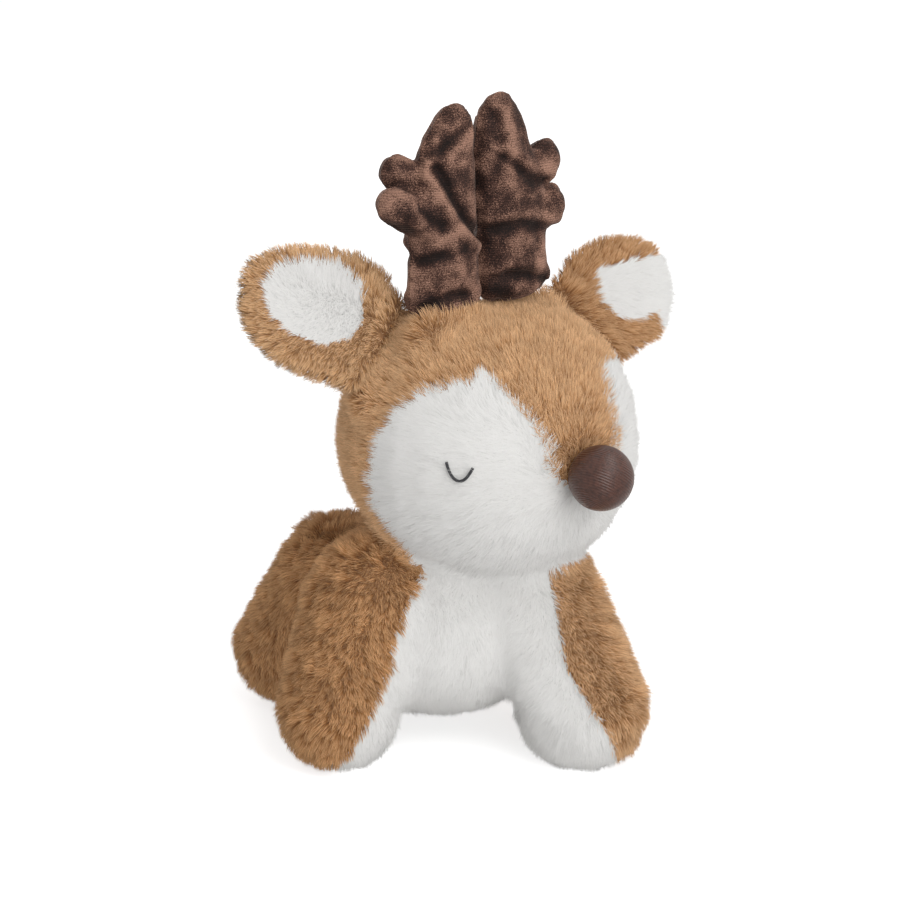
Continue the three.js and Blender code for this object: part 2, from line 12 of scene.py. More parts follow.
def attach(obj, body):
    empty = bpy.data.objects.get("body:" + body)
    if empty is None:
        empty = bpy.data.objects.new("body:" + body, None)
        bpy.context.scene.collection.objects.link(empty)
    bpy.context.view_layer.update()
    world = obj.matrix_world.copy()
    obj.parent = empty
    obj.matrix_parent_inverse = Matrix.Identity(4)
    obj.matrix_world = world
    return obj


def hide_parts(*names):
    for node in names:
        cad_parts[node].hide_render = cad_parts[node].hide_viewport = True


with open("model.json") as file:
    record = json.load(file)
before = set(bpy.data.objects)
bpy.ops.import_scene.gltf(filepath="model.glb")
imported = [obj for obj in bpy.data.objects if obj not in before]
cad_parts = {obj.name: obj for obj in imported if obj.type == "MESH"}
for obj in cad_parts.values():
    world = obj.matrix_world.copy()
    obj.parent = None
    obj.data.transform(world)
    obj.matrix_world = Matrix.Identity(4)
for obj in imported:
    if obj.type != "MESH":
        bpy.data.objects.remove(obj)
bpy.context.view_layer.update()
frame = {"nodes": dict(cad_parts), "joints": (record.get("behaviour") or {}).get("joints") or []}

MM = 0.001
TINY = 1e-12  # keeps an empty vector from being divided by zero
noise.seed_set(7)  # without it the noise vectors differ from run to run

# The head's frame, from its turn and the antlers' seam
HEAD_TURN = math.radians(22)
HEAD_ROLL = math.radians(-3)
SEAM_IN_HEAD = np.array([0, 2, 57.5]) * MM
HEAD_HALF = np.array([57, 55, 50]) * MM
EYE_BEARING = math.radians(49.5)
NOSE_IN_HEAD = np.array([0, -64.5, -1.5]) * MM
NOSE_RADIUS = 12 * MM

joints = {joint["name"]: joint for joint in frame["joints"]}
nodes = frame["nodes"]
head_turn = np.array(Matrix.Rotation(HEAD_TURN, 3, "Z") @ Matrix.Rotation(HEAD_ROLL, 3, "Y"))
head_middle = np.array(joints["antler_left_seam"]["pos_m"]) - head_turn @ SEAM_IN_HEAD


def unit(vectors):
    return vectors / np.maximum(np.linalg.norm(vectors, axis=-1, keepdims=True), TINY)


def head_place(point):
    return head_middle + head_turn @ np.asarray(point, float)


# Mesh helpers

def mesh_arrays(mesh):
    mesh.calc_loop_triangles()
    points = np.empty(len(mesh.vertices) * 3)
    mesh.vertices.foreach_get("co", points)
    triangles = np.empty(len(mesh.loop_triangles) * 3, np.int64)
    mesh.loop_triangles.foreach_get("vertices", triangles)
    return points.reshape(-1, 3), triangles.reshape(-1, 3)


def mesh_object(name, points, faces):
    mesh = bpy.data.meshes.new(name)
    mesh.from_pydata(np.asarray(points).tolist(), [], [list(map(int, face)) for face in faces])
    mesh.polygons.foreach_set("use_smooth", [True] * len(mesh.polygons))
    mesh.update()
    made = bpy.data.objects.new(name, mesh)
    bpy.context.scene.collection.objects.link(made)
    return made


def face_normals(points, triangles):
    a, b, c = (points[triangles[:, k]] for k in range(3))
    return np.cross(b - a, c - a)


def vertex_normals(points, triangles):
    normals = face_normals(points, triangles)
    total = np.zeros_like(points)
    for corner in range(3):
        for axis in range(3):
            total[:, axis] += np.bincount(triangles[:, corner], normals[:, axis], len(points))
    return unit(total)


def smoothed(points, triangles, rounds, share=0.5):
    pairs = np.vstack([triangles[:, [0, 1]], triangles[:, [1, 2]], triangles[:, [2, 0]]])
    count = np.bincount(pairs[:, 0], minlength=len(points)) + np.bincount(pairs[:, 1], minlength=len(points))
    for _ in range(rounds):
        mean = np.empty_like(points)
        for axis in range(3):
            mean[:, axis] = np.bincount(pairs[:, 0], points[pairs[:, 1], axis], len(points))
            mean[:, axis] += np.bincount(pairs[:, 1], points[pairs[:, 0], axis], len(points))
        points = points + share * (mean / count[:, None] - points)
    return points


def joined(names):
    points, triangles, owner, start = [], [], [], 0
    for index, name in enumerate(names):
        some_points, some_triangles = mesh_arrays(nodes[name].data)
        points.append(some_points)
        triangles.append(some_triangles + start)
        owner += [index] * len(some_triangles)
        start += len(some_points)
    return np.vstack(points), np.vstack(triangles), np.array(owner)


# One even, smooth surface round several solids
def remeshed(points, triangles, voxel):
    made = mesh_object("remesh", points, triangles)
    change = made.modifiers.new("remesh", "REMESH")
    change.mode = "VOXEL"
    change.voxel_size = voxel
    evaluated = made.evaluated_get(bpy.context.evaluated_depsgraph_get())
    mesh = bpy.data.meshes.new_from_object(evaluated)
    found = mesh_arrays(mesh)
    bpy.data.objects.remove(made)
    bpy.data.meshes.remove(mesh)
    return found


def shrunk(points, triangles, depth, step=1 * MM):
    for _ in range(max(1, round(depth / step))):
        points = points - vertex_normals(points, triangles) * min(step, depth)
        points = smoothed(points, triangles, 1)
    return points


# Materials

class Nodes:
    """The nodes of one material."""

    def __init__(self, name):
        self.material = bpy.data.materials.new(name)
        self.material.use_nodes = True
        self.tree = self.material.node_tree
        self.shader = self.tree.nodes["Principled BSDF"]

    def add(self, kind, settings=(), **inputs):
        node = self.tree.nodes.new(kind)
        for key, value in dict(settings).items():
            setattr(node, key, value)
        for key, value in inputs.items():
            self.feed(node.inputs[key], value)
        return node

    def feed(self, socket, value):
        if isinstance(value, bpy.types.NodeSocket):
            self.tree.links.new(value, socket)
        else:
            socket.default_value = value

    def ramp(self, factor, stops):
        node = self.add("ShaderNodeValToRGB", Fac=factor)
        elements = node.color_ramp.elements
        while len(elements) < len(stops):
            elements.new(0.5)
        for element, (place, colour) in zip(elements, stops):
            element.position = place
            element.color = (*colour, 1)
        return node.outputs["Color"]

    def noise(self, scale, detail=2, distortion=0.0, vector=None):
        node = self.add("ShaderNodeTexNoise", Scale=scale, Detail=detail, Distortion=distortion)
        self.feed(node.inputs["Vector"], vector or self.place())
        return node.outputs["Fac"]

    def place(self):
        return self.add("ShaderNodeTexCoord").outputs["Object"]

    def math(self, operation, first, second=0.0):
        node = self.add("ShaderNodeMath", [("operation", operation)])
        self.feed(node.inputs[0], first)
        self.feed(node.inputs[1], second)
        return node.outputs[0]

    def mix(self, factor, first, second, blend="MIX"):
        node = self.add("ShaderNodeMix", [("data_type", "RGBA"), ("blend_type", blend)])
        self.feed(node.inputs["Factor"], factor)
        self.feed(node.inputs[6], first)
        self.feed(node.inputs[7], second)
        return node.outputs[2]

    def bump(self, height, strength, distance):
        node = self.add("ShaderNodeBump", Strength=strength, Distance=distance)
        self.feed(node.inputs["Height"], height)
        self.feed(self.shader.inputs["Normal"], node.outputs["Normal"])


def set_shader(made, **values):
    for key, value in values.items():
        made.feed(made.shader.inputs[key.replace("_", " ")], value)


OWN_NORMAL_SHARE = 0.6


# The pile's colour runs from root to tip, darker at the root as painted shade within the pile, and varies
# from strand to strand and from tuft to tuft
def pile_material(name, stops, spread, sheen_tint):
    made = Nodes(name)
    strand = made.add("ShaderNodeAttribute", [("attribute_name", "strand")])
    parts = made.add("ShaderNodeSeparateColor", Color=strand.outputs["Color"])
    along, chance, patch = (parts.outputs[key] for key in ("Red", "Green", "Blue"))
    colour = made.ramp(along, stops)
    levels = [made.math("MULTIPLY_ADD", share, spread) for share in (chance, patch)]
    for level in levels:
        level.node.inputs[2].default_value = 1 - spread / 2
    level = made.math("MULTIPLY", *levels)
    shade = made.add("ShaderNodeHueSaturation", Color=colour, Value=level)
    # A strand is lit partly like the coat under it, whichever of its faces is seen
    lean = made.add("ShaderNodeAttribute", [("attribute_name", "lean")])
    turn = made.add("ShaderNodeVectorTransform", [("vector_type", "NORMAL")], Vector=lean.outputs["Vector"])
    own = made.add("ShaderNodeNewGeometry").outputs["True Normal"]
    own = made.add("ShaderNodeVectorMath", [("operation", "SCALE")], Vector=own, Scale=OWN_NORMAL_SHARE)
    total = made.add("ShaderNodeVectorMath", [("operation", "ADD")])
    made.feed(total.inputs[0], turn.outputs["Vector"])
    made.feed(total.inputs[1], own.outputs["Vector"])
    normal = made.add("ShaderNodeVectorMath", [("operation", "NORMALIZE")], Vector=total.outputs["Vector"])
    made.feed(made.shader.inputs["Normal"], normal.outputs["Vector"])
    set_shader(made, Base_Color=shade.outputs["Color"], Roughness=0.85, Specular_IOR_Level=0.25)
    set_shader(made, Sheen_Weight=0.05, Sheen_Roughness=0.5, Sheen_Tint=(*sheen_tint, 1))
    return made.material


BACKING_DARK_SHARE = 0.7


def backing_material(name, colour):
    made = Nodes(name)
    fine = made.noise(scale=900, detail=3)
    dark = tuple(BACKING_DARK_SHARE * part for part in colour)
    set_shader(made, Base_Color=made.ramp(fine, [(0.3, dark), (0.7, colour)]), Roughness=0.95)
    made.bump(fine, strength=0.4, distance=0.3 * MM)
    return made.material


# Each ramp runs from root to tip; its darker root is painted shade within the pile
TAN_STOPS = [(0.0, (0.16, 0.062, 0.022)), (0.45, (0.44, 0.21, 0.083)), (1.0, (0.85, 0.535, 0.30))]
# A darker copy of the tan for the body and legs: painted shade
TAN_SHADED_STOPS = [(0.0, (0.12, 0.045, 0.015)), (0.45, (0.38, 0.165, 0.058)), (1.0, (0.80, 0.46, 0.225))]
# A lighter copy of the tan for the right ear: painted light, standing in for light shining through its rim
TAN_LIT_STOPS = [(0.0, (0.22, 0.09, 0.035)), (0.45, (0.52, 0.265, 0.11)), (1.0, (0.92, 0.60, 0.345))]
# A darker copy of the tan for the left ear: painted shade
TAN_FAR_SHADED_STOPS = [(0.0, (0.14, 0.054, 0.02)), (0.45, (0.36, 0.165, 0.063)), (1.0, (0.70, 0.42, 0.22))]
WHITE_STOPS = [(0.0, (0.73, 0.72, 0.695)), (0.5, (0.77, 0.76, 0.74)), (1.0, (0.81, 0.80, 0.78))]
tan_pile = pile_material("tan_pile", TAN_STOPS, spread=0.36, sheen_tint=(0.9, 0.7, 0.5))
tan_far_shaded_pile = pile_material("tan_far_shaded_pile", TAN_FAR_SHADED_STOPS, spread=0.25, sheen_tint=(1, 0.8, 0.6))
tan_shaded_pile = pile_material("tan_shaded_pile", TAN_SHADED_STOPS, spread=0.4, sheen_tint=(0.9, 0.7, 0.5))
tan_lit_pile = pile_material("tan_lit_pile", TAN_LIT_STOPS, spread=0.22, sheen_tint=(1, 0.8, 0.6))
white_pile = pile_material("white_pile", WHITE_STOPS, spread=0.03, sheen_tint=(1, 1, 1))
tan_backing = backing_material("tan_backing", (0.36, 0.18, 0.08))
white_backing = backing_material("white_backing", (0.77, 0.76, 0.74))

# Fur

LEVELS = np.array([0, 0.36, 0.7, 1.0])  # the places along a strand where it bends
WIDTH_SHARES = np.array([1.0, 0.95, 0.65])
STRAND_FACES = [(0, 1, 3, 2), (2, 3, 5, 4), (4, 5, 6)]
LEVEL_POINTS = [2, 2, 2, 1]  # the points of a strand at each of its levels
LEVEL_SEGMENTS = [0, 1, 2, 2]  # the segment that gives each level its light
STRAND_POINTS = sum(LEVEL_POINTS)
MOST_STRANDS = 39000  # in one piece
SEED_STEPS = (7.3, 3.1, 5.7)  # how far apart in the noise two seeds lie

# How the strands and tufts differ, gather and catch the light
FEWEST_TUFTS = 4
PATCH_MIDDLE = 0.5
PATCH_SWING = 0.7
TUFT_LENGTH_SWING = 0.3
SHORTEST_SHARE = 0.72
LENGTH_SPREAD = 0.42
FIRST_ANGLE_SPREAD = 0.18
LAST_ANGLE_SPREAD = 0.22
LAST_FLATTEN_SHARE = 0.5
GATHER_POWER = 1.4
GROUND_GAP = 0.25 * MM
GROUND_SPREAD = 0.5 * MM
ROLL_SPREAD = 0.7
THINNEST_SHARE = 0.7
WIDTH_SPREAD = 0.6
SIDE_LIGHT_SHARE = 0.35
LIGHT_SPREAD = 0.25

# A strand's place in its cell of the map that its colour is baked to
CELL_PLACES = np.array([0.15, 0.85, 0.15, 0.85, 0.15, 0.85, 0.5])
CELL_START = 0.1
CELL_HEIGHT = 0.8


def sampled(points, triangles, normals, count, random):
    areas = np.linalg.norm(face_normals(points, triangles), axis=1)
    picks = np.searchsorted(np.cumsum(areas) / areas.sum(), random.random(count))
    picks = np.minimum(picks, len(triangles) - 1)
    u, v = random.random((2, count))
    flip = u + v > 1
    u, v = np.where(flip, 1 - u, u), np.where(flip, 1 - v, v)
    shares = np.stack([1 - u - v, u, v], axis=1)[:, :, None]
    corners = triangles[picks]
    return (points[corners] * shares).sum(1), unit((normals[corners] * shares).sum(1))


def noise_at(places, scale, seed):
    offset = Vector([seed * step for step in SEED_STEPS])
    return np.array([noise.noise_vector(Vector(place) / scale + offset) for place in places])


# Where each strand passes, level by level, for its root, normal, lie and length
def strand_path(roots, normals, lies, lengths, first_angle, last_angle):
    path = [roots]
    for level in range(3):
        share = (LEVELS[level] + LEVELS[level + 1]) / 2
        angle = first_angle + (last_angle - first_angle) * share
        step = lengths * (LEVELS[level + 1] - LEVELS[level])
        way = normals * np.cos(angle)[:, None] + lies * np.sin(angle)[:, None]
        path.append(path[-1] + way * step[:, None])
    return np.stack(path, axis=1)


def grow(name, surface, count, guide, kind, seed):
    """One panel's pile: strands with their roots on the surface, lying the way that guide says."""
    random = np.random.default_rng(seed)
    points, triangles, normals = surface
    roots, up = sampled(points, triangles, normals, count, random)
    tuft_count = max(FEWEST_TUFTS, int(count / kind["strands_per_tuft"]))
    tuft_roots, tuft_up = roots[:tuft_count], up[:tuft_count]
    tree = KDTree(tuft_count)
    for index, root in enumerate(tuft_roots):
        tree.insert(root, index)
    tree.balance()
    tuft = np.array([tree.find(root)[1] for root in roots])

    swirl = noise_at(tuft_roots, kind["swirl_size"], seed)
    ruffle = noise_at(tuft_roots, kind["ruffle_size"], seed + 1)
    tuft_patch = PATCH_MIDDLE + PATCH_SWING * ruffle[:, 2]
    tuft_way = unit(guide(tuft_roots)) + kind["swirl"] * swirl + kind["ruffle"] * ruffle
    way = tuft_way[tuft] + kind["scatter"] * random.normal(size=(count, 3))
    way = unit(way - up * (way * up).sum(1)[:, None])
    tuft_way = unit(tuft_way - tuft_up * (tuft_way * tuft_up).sum(1)[:, None])

    tuft_length = kind["length"] * (1 + TUFT_LENGTH_SWING * ruffle[:, 1]) * kind["trim"](tuft_roots)
    length = tuft_length[tuft] * (SHORTEST_SHARE + LENGTH_SPREAD * random.random(count))
    flatter = kind["flatten"](tuft_roots)
    middle_first = np.radians(kind["first_angle"] + flatter)
    middle_last = np.radians(kind["last_angle"] + LAST_FLATTEN_SHARE * flatter)
    first = middle_first[tuft] + FIRST_ANGLE_SPREAD * random.normal(size=count)
    last = middle_last[tuft] + LAST_ANGLE_SPREAD * random.normal(size=count)
    path = strand_path(roots, up, way, length, first, last)
    middle = strand_path(tuft_roots, tuft_up, tuft_way, tuft_length, middle_first, middle_last)
    gather = kind["gather"] * LEVELS[None, :, None] ** GATHER_POWER
    path += gather * (middle[tuft] - path)
    path[:, :, 2] = np.maximum(path[:, :, 2], GROUND_GAP + GROUND_SPREAD * random.random((count, 1)))

    along = unit(path[:, 1:] - path[:, :-1])
    roll = ROLL_SPREAD * random.normal(size=count)
    across = unit(np.cross(along, up[:, None, :]))
    side = np.cross(across, along)
    across = across * np.cos(roll)[:, None, None] + side * np.sin(roll)[:, None, None]
    width = kind["width"] * (THINNEST_SHARE + WIDTH_SPREAD * random.random(count))
    half = across * (width[:, None] * WIDTH_SHARES)[:, :, None] / 2
    corners = np.stack([path[:, :3] - half, path[:, :3] + half], axis=2).reshape(count, 6, 3)
    corners = np.concatenate([corners, path[:, 3:]], axis=1)

    lean = up[:, None, :] * kind["even"] + SIDE_LIGHT_SHARE * side[:, LEVEL_SEGMENTS]
    lean = unit(lean + LIGHT_SPREAD * random.normal(size=(count, 1, 3)))
    shade = np.repeat(lean, LEVEL_POINTS, axis=1)
    tint = np.ones((count, STRAND_POINTS, 4), np.float32)
    tint[:, :, 0] = np.repeat(LEVELS, LEVEL_POINTS)
    tint[:, :, 1] = random.random(count)[:, None]
    tint[:, :, 2] = np.clip(tuft_patch, 0, 1)[tuft][:, None]
    return strand_mesh(name, corners, shade, tint)


def strand_mesh(name, corners, shade, tint):
    count = len(corners)
    starts = np.arange(count)[:, None] * STRAND_POINTS
    loops = np.concatenate([starts + np.array(face) for face in STRAND_FACES], axis=1)
    sizes = np.tile([len(face) for face in STRAND_FACES], count)
    mesh = bpy.data.meshes.new(name)
    mesh.vertices.add(count * STRAND_POINTS)
    mesh.vertices.foreach_set("co", corners.astype(np.float32).ravel())
    mesh.loops.add(loops.size)
    mesh.loops.foreach_set("vertex_index", loops.astype(np.int32).ravel())
    mesh.polygons.add(len(sizes))
    mesh.polygons.foreach_set("loop_start", (np.cumsum(sizes) - sizes).astype(np.int32))
    mesh.polygons.foreach_set("use_smooth", np.ones(len(sizes), bool))
    mesh.update(calc_edges=True)
    mesh.normals_split_custom_set_from_vertices(shade.reshape(-1, 3))
    leans = mesh.attributes.new("lean", "FLOAT_VECTOR", "POINT")
    leans.data.foreach_set("vector", shade.astype(np.float32).ravel())
    colours = mesh.attributes.new("strand", "FLOAT_COLOR", "POINT")
    colours.data.foreach_set("color", tint.ravel())
    # Each strand has a cell of its own in the map, so that its colour can be baked
    cells = math.ceil(math.sqrt(count))
    row, column = np.divmod(np.arange(count), cells)
    u = column[:, None] + CELL_PLACES
    v = row[:, None] + CELL_START + CELL_HEIGHT * np.repeat(LEVELS, LEVEL_POINTS)[None, :]
    places = np.stack([u, v], axis=2).reshape(-1, 2) / cells
    chart = mesh.uv_layers.new(name="OFBake")
    chart.data.foreach_set("uv", places[loops.ravel()].astype(np.float32).ravel())
    made = bpy.data.objects.new(name, mesh)
    bpy.context.scene.collection.objects.link(made)
    return made


def part_surface(points, triangles, normals, chosen):
    kept = triangles[chosen]
    used, packed = np.unique(kept, return_inverse=True)
    return points[used], packed.reshape(-1, 3), normals[used]


# The panels that are sewn up into the deer's head, body and legs
DEER = [
    "head_cover", "cheek_panel_right", "cheek_panel_left", "body_cover", "chest_panel",
    "front_leg_right", "front_leg_left", "front_leg_lining_right", "front_leg_lining_left",
    "hind_leg_right", "hind_leg_left", "hind_leg_lining_right", "hind_leg_lining_left",
]

# How far the fur on the head lies away from the nose and how far back, and how far it hangs
COVER_BACK = np.array([0, 1, 0.25])
COVER_SHARES = (0.35, 0.9)
COVER_SINK = np.array([0, 0, -0.15])
CHEEK_BACK = np.array([0, 1, 0.2])
CHEEK_SHARES = (0.6, 0.6)


def away_and_back(places, back, shares):
    away = unit(places - head_place(NOSE_IN_HEAD))
    away_share, back_share = shares
    return away * away_share + head_turn @ back * back_share


def from_nose(places):
    return away_and_back(places, COVER_BACK, COVER_SHARES) + COVER_SINK


# Each cheek panel's edge along the blaze: how far up and how far out, as shares of the head's half sizes
BLAZE_EDGES = {
    "right": [
        (-0.1, 0.12), (-0.02, 0.2), (0.06, 0.25), (0.2, 0.27), (0.34, 0.29), (0.48, 0.345), (0.64, 0.4),
        (0.71, 0.46),
    ],
    "left": [(-0.1, 0.12), (0.0, 0.27), (0.07, 0.33), (0.16, 0.35), (0.38, 0.36), (0.5, 0.4), (0.57, 0.46)],
}
FAR_CHEEK_TOP = [(0.56, 0.57), (0.7, 0.52)]  # how far out and how far up the left panel ends, as shares
BLAZE_REACH = 0.5  # beyond it a cheek panel's outline is left alone
FRAY_REACH = 0.14
FRAY_RISE = 0.7
FRAY_SHARE = 1.3
CREST_START = 0.4
CREST_REACH = 0.25
CREST_SHARE = 0.9


def blaze_shares(places, hand):
    """How far up each place is, how far out, and how far out from the blaze's edge, as shares."""
    out, _, up = ((places - head_middle) @ head_turn / HEAD_HALF).T
    out = -out if hand == "right" else out
    heights, edges = np.array(BLAZE_EDGES[hand]).T
    return up, out, out - np.interp(up, heights, edges)


# The white pile lies back from the nose, and spills over its edge
def cheek_guide(hand):
    inward = head_turn @ np.array([1 if hand == "right" else -1, 0, FRAY_RISE])
    upward = head_turn @ np.array([0, 0, 1])

    def guide(places):
        way = away_and_back(places, CHEEK_BACK, CHEEK_SHARES)
        up, _, gap = blaze_shares(places, hand)
        fray = np.clip(1 - gap / FRAY_REACH, 0, 1) * (up > 0)
        crest = np.clip((up - CREST_START) / CREST_REACH, 0, 1)
        return way + FRAY_SHARE * fray[:, None] * inward + CREST_SHARE * crest[:, None] * upward

    return guide


# The right front leg's tan panel at the top, where it reaches over the chest: how high and how far out
LEG_EDGE = np.array([
    (42, -46.5), (46, -45), (55, -41.5), (62, -38.5), (69, -33.5), (73, -30.5), (80, -29.5), (92, -29.5),
]) * MM
LEG_EDGE_FRONT = -12 * MM


# Which panel each face of the skin belongs to, where the seam between tan and white isn't the solids' own
def seam_labels(centres, label):
    cover = DEER.index("head_cover")
    heights, edges = LEG_EDGE.T
    x, y, z = centres.T
    over = (z > heights[0]) & (z < heights[-1]) & (y < LEG_EDGE_FRONT) & (x < np.interp(z, heights, edges))
    over &= np.isin(label, [DEER.index("chest_panel"), DEER.index("front_leg_lining_right")])
    label = np.where(over, DEER.index("front_leg_right"), label)
    ahead = ((centres - head_middle) @ head_turn)[:, 1] < 0
    for hand in ("right", "left"):
        cheek = DEER.index(f"cheek_panel_{hand}")
        up, out, gap = blaze_shares(centres, hand)
        lowest, highest = BLAZE_EDGES[hand][0][0], BLAZE_EDGES[hand][-1][0]
        near = ahead & (up > lowest) & (up < highest) & (out > 0) & (out < BLAZE_REACH)
        near &= np.isin(label, [cover, cheek])
        label = np.where(near, np.where(gap < 0, cover, cheek), label)
    up, out, _ = blaze_shares(centres, "left")
    above = (label == DEER.index("cheek_panel_left")) & (up > np.interp(out, *np.array(FAR_CHEEK_TOP).T))
    return np.where(above, cover, label)


BODY_WAY = [0, 0.35, -1.0]
LEG_WAY = [0, 0, -1.0]
CHEST_WAY = np.array([0, -0.1, -1.0])
CHEST_OUT = np.array([[0.15, 0, 0]])


def down_body(places):
    return np.tile(BODY_WAY, (len(places), 1))


def down_chest(places):
    return np.sign(places[:, :1]) * CHEST_OUT + CHEST_WAY


def down_leg(places):
    return np.tile(LEG_WAY, (len(places), 1))


def full(places):
    return np.ones(len(places))


def upright(places):
    return np.zeros(len(places))


BASE = {
    "length": 6.6 * MM,
    "width": 0.25 * MM,
    "first_angle": 16,
    "last_angle": 54,
    "strands_per_tuft": 22,
    "gather": 0.25,
    "swirl": 0.65,
    "swirl_size": 20 * MM,
    "ruffle": 0.55,
    "ruffle_size": 5 * MM,
    "scatter": 0.25,
    "even": 1.2,  # how much the strands share the light of the surface under them
    "trim": full,
    "flatten": upright,  # how many degrees more the pile leans over
    "density": 520,  # strands on each square centimetre
    "tan_material": tan_pile,
}
# The white panels have a shorter and denser pile, which lies flatter
WHITE = {
    "length": 6.0 * MM, "width": 0.26 * MM, "first_angle": 30, "last_angle": 64,
    "ruffle": 0.2, "gather": 0.05, "scatter": 0.22, "even": 6, "density": 640,
}
SQUARE_CENTIMETRE = (10 * MM) ** 2
BACKING_LOWEST = 1.2 * MM
SEED_STEP = 10  # from one panel of a body to the next


def surface_area(points, triangles):
    return np.linalg.norm(face_normals(points, triangles), axis=1).sum() / 2


# A row of overlapping balls from one place to another
def bead_row(start, end, radius, count=9):
    bead = bmesh.new()
    bmesh.ops.create_icosphere(bead, subdivisions=2, radius=radius)
    corners = np.array([vertex.co for vertex in bead.verts])
    faces = np.array([[vertex.index for vertex in face.verts] for face in bead.faces])
    bead.free()
    places = start + (end - start) * np.linspace(0, 1, count)[:, None]
    points = (places[:, None, :] + corners).reshape(-1, 3)
    triangles = (faces + len(corners) * np.arange(count)[:, None, None]).reshape(-1, 3)
    return points, triangles


def dress(names, body, voxel, inset, guides, kinds, seed, inside=None, rises=(), shape=None, relabel=None):
    """Covers a body's solids, and what is inside them, with a panel of fur for each of the nodes named."""
    inside = inside or {}
    held = [node for filling in inside.values() for node in filling]
    points, triangles, owner = joined(names)
    tree = BVHTree.FromPolygons(points.tolist(), triangles.tolist())
    all_points, all_triangles, _ = joined(names + held)
    for rise_points, rise_triangles in rises:
        all_triangles = np.vstack([all_triangles, rise_triangles + len(all_points)])
        all_points = np.vstack([all_points, rise_points])
    skin_points, skin_triangles = remeshed(all_points, all_triangles, voxel)
    skin_points = smoothed(skin_points, skin_triangles, rounds=3)
    centres = skin_points[skin_triangles].mean(1)
    label = np.array([owner[tree.find_nearest(centre)[2]] for centre in centres.tolist()])
    if relabel:
        label = relabel(centres, label)
    if shape:
        skin_points = shape(skin_points)
    skin_points = shrunk(skin_points, skin_triangles, inset)
    skin_points[:, 2] = np.maximum(skin_points[:, 2], BACKING_LOWEST)
    skin_normals = vertex_normals(skin_points, skin_triangles)
    for index, node in enumerate(names):
        chosen = label == index
        if not chosen.any():
            continue
        part = part_surface(skin_points, skin_triangles, skin_normals, chosen)
        white = "lining" in node or "cheek" in node or "chest" in node
        backing = mesh_object(node + "_panel", part[0], part[1])
        backing.data.materials.append(white_backing if white else tan_backing)
        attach(backing, body)
        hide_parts(node, *inside.get(node, ()))
        own = {**BASE, **(WHITE if white else {}), **kinds(node)}
        count = int(surface_area(part[0], part[1]) / SQUARE_CENTIMETRE * own["density"])
        shares = math.ceil(count / MOST_STRANDS)
        for share in range(shares):
            suffix = "_pile" if shares == 1 else f"_pile_{share + 1}"
            own_seed = seed + SEED_STEP * index + share
            pile = grow(node + suffix, part, count // shares, guides(node), own, own_seed)
            pile.data.materials.append(white_pile if white else own["tan_material"])
            # Light passes through the white pile, and no pile colours what is round it
            pile.visible_shadow = not white
            pile.visible_diffuse = False
            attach(pile, body)
            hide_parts(node)


def deer_guide(node):
    if node == "head_cover":
        return from_nose
    if node.startswith("cheek"):
        return cheek_guide(node.removeprefix("cheek_panel_"))
    if node == "chest_panel":
        return down_chest
    if "leg" in node:
        return down_leg
    return down_body


EYE_TRIM = 4 * MM
EYE_SINKS = {-1: 0.6 * MM, 1: 1.7 * MM}  # the far eye is sewn in deeper
EYE_PILE_SHARE = 0.42
EYE_PILE_GAIN = 0.58
EYE_TRIM_START = 0.3
EYE_ARC = [  # how far out and how far down it passes, as shares of its half width and depth
    (-1, 0), (-0.85, -0.4), (-0.6, -0.76), (-0.25, -0.97), (0.1, -1), (0.45, -0.86), (0.75, -0.6),
    (1, -0.28),
]
EYE_HALF_WIDTH = 4.8 * MM
EYE_TOP = 8 * MM
EYE_DEPTH = 7 * MM
SNOUT_AHEAD = 4 * MM
SNOUT_DOWN = 9 * MM
NOSE_TRIM = 8 * MM
NOSE_PILE_SHARE = 0.7
NOSE_PILE_GAIN = 0.3


# The places of one eye's arc, on the head's surface
def eye_arc(side):
    arc = []
    for out, down in EYE_ARC:
        rise = math.asin((EYE_TOP + EYE_DEPTH * down) / HEAD_HALF[2])
        bearing = EYE_BEARING - EYE_HALF_WIDTH * out / HEAD_HALF[0]
        direction = np.array([side * math.cos(rise) * math.sin(bearing), -math.cos(rise) * math.cos(bearing),
                              math.sin(rise)])
        snout = SNOUT_AHEAD * max(0, -direction[1]) ** 3 + SNOUT_DOWN * max(0, -direction[2]) ** 2
        place = direction * (HEAD_HALF - EYE_SINKS[side]) - np.array([0, snout, 0])
        arc.append(head_place(place))
    return np.array(arc)


# The pile is cut short round the eyes and the nose
def trimmed(places):
    share = np.ones(len(places))
    for side in (-1, 1):
        arc = eye_arc(side)
        gap = np.min(np.linalg.norm(places[:, None] - arc, axis=2), axis=1)
        gain = EYE_PILE_GAIN * np.clip(gap / EYE_TRIM - EYE_TRIM_START, 0, 1)
        share = np.minimum(share, EYE_PILE_SHARE + gain)
    gap = np.linalg.norm(places - head_place(NOSE_IN_HEAD), axis=1)
    gain = NOSE_PILE_GAIN * np.clip((gap - NOSE_RADIUS) / NOSE_TRIM, 0, 1)
    return np.minimum(share, NOSE_PILE_SHARE + gain)


SNOUT_LEAN = 28  # degrees, like the next
GROUND_LEAN = 22
SNOUT_LEAN_REACH = 28 * MM
SNOUT_LEAN_START = 1.7
GROUND_LEAN_REACH = 16 * MM


# Flatter on the snout, and more upright at the ground
def flattened(places):
    gap = np.linalg.norm(places - head_place(NOSE_IN_HEAD), axis=1)
    snout = np.clip(SNOUT_LEAN_START - gap / SNOUT_LEAN_REACH, 0, 1)
    ground = np.clip(1 - places[:, 2] / GROUND_LEAN_REACH, 0, 1)
    return SNOUT_LEAN * snout - GROUND_LEAN * ground


